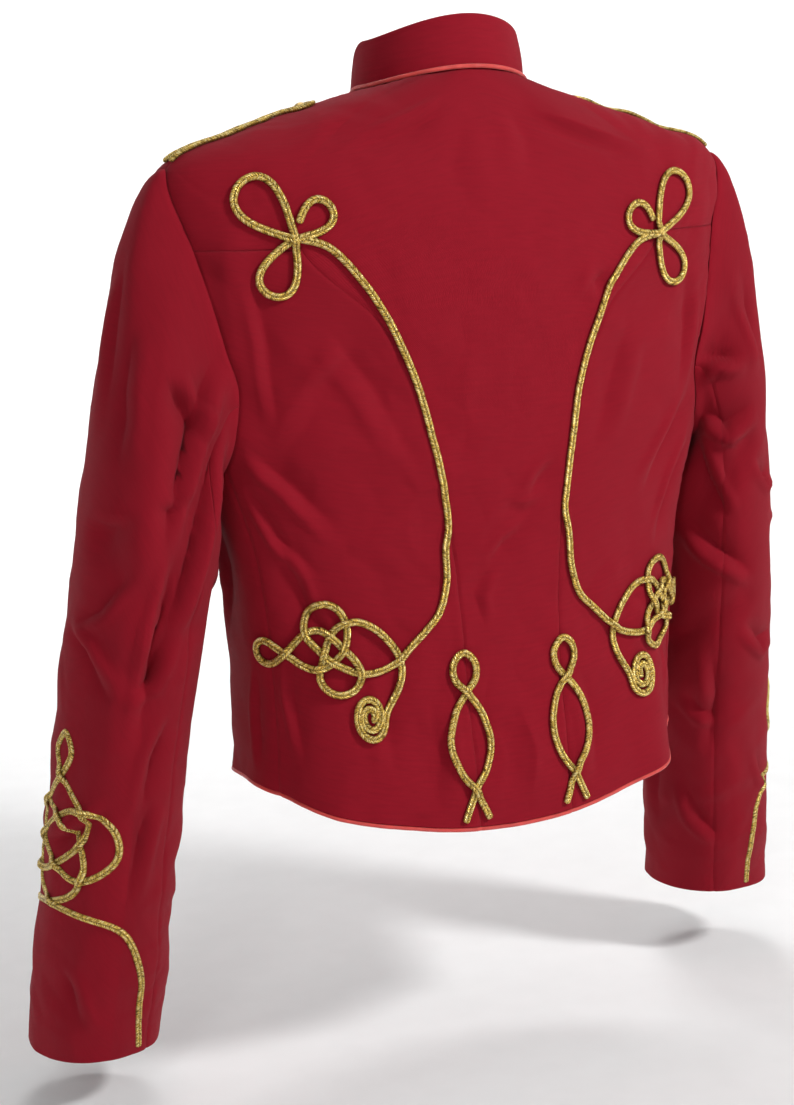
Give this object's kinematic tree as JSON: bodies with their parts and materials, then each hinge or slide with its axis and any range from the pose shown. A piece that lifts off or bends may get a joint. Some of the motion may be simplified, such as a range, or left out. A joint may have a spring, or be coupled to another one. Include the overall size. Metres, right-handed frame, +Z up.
{
  "type": "hussar jacket",
  "caption": "Short hollow-worn jacket with stand collar, two-piece sleeves, piped hem and gold cord knots on back, hips, cuffs and shoulders.",
  "frame": {"origin": "middle of the neck opening, at the height of the neck seam over the shoulders", "axes": "+Z up, -Y towards the garment's front, +X towards the wearer's left"},
  "size_m": [0.6235, 0.2294, 0.7045],
  "materials": {
    "red_drill": "matt cotton drill with a faint diagonal twill",
    "coral_piping": "satin-covered piping",
    "gold_cord": "braided metallic yarn, glittering",
    "gilt_button": "polished gilt dome"
  },
  "bodies": {
    "root": {"back_centre": "red_drill", "side_back_left": "red_drill", "side_back_right": "red_drill", "front_left": "red_drill", "front_right": "red_drill", "front_stand": "red_drill", "sleeve_upper_left": "red_drill", "sleeve_under_left": "red_drill", "sleeve_upper_right": "red_drill", "sleeve_under_right": "red_drill", "collar": "red_drill", "collar_piping": "coral_piping", "hem_piping": "coral_piping", "back_scroll_left": "gold_cord", "back_scroll_right": "gold_cord", "back_eight_left": "gold_cord", "back_eight_right": "gold_cord", "cuff_knot_left": "gold_cord", "cuff_knot_right": "gold_cord", "shoulder_cord_left": "gold_cord", "shoulder_cord_right": "gold_cord", "shoulder_button_left": "gilt_button", "shoulder_button_right": "gilt_button", "front_button_1": "gilt_button", "front_button_2": "gilt_button", "front_button_3": "gilt_button", "front_button_4": "gilt_button", "front_button_5": "gilt_button", "front_button_6": "gilt_button", "front_button_7": "gilt_button"}
  },
  "joints": []
}
